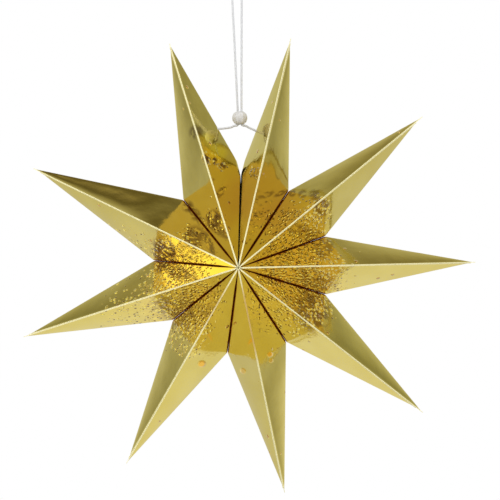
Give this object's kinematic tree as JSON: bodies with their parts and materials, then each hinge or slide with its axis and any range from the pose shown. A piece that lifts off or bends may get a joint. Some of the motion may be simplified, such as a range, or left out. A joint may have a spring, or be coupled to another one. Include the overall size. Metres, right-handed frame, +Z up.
{
  "type": "origami star",
  "caption": "Hanging star of folded gold foil card with hollow, ridged points, on a white cord loop that runs through a round bead.",
  "frame": {"origin": "where a hook bears inside the top of the hanging loop, straight above the star's centre", "axes": "+Z up along the line on which the star hangs, +Y from the star's front to its back, +X to the right seen from the front"},
  "size_m": [0.2952, 0.1002, 0.3347],
  "materials": {
    "gold_foil_card": "mirror-bright gold foil on card, with cream cut edges",
    "white_cord": "smooth woven cord",
    "white_bead": "satin"
  },
  "bodies": {
    "root": {"point_1_sheet_a": "gold_foil_card", "point_1_sheet_b": "gold_foil_card", "point_2_sheet_a": "gold_foil_card", "point_2_sheet_b": "gold_foil_card", "point_3_sheet_a": "gold_foil_card", "point_3_sheet_b": "gold_foil_card", "point_4_sheet_a": "gold_foil_card", "point_4_sheet_b": "gold_foil_card", "point_5_sheet_a": "gold_foil_card", "point_5_sheet_b": "gold_foil_card", "point_6_sheet_a": "gold_foil_card", "point_6_sheet_b": "gold_foil_card", "point_7_sheet_a": "gold_foil_card", "point_7_sheet_b": "gold_foil_card", "point_8_sheet_a": "gold_foil_card", "point_8_sheet_b": "gold_foil_card", "point_9_sheet_a": "gold_foil_card", "point_9_sheet_b": "gold_foil_card", "hanging_cord": "white_cord", "bead": "white_bead", "left_knot": "white_cord", "right_knot": "white_cord"}
  },
  "joints": []
}
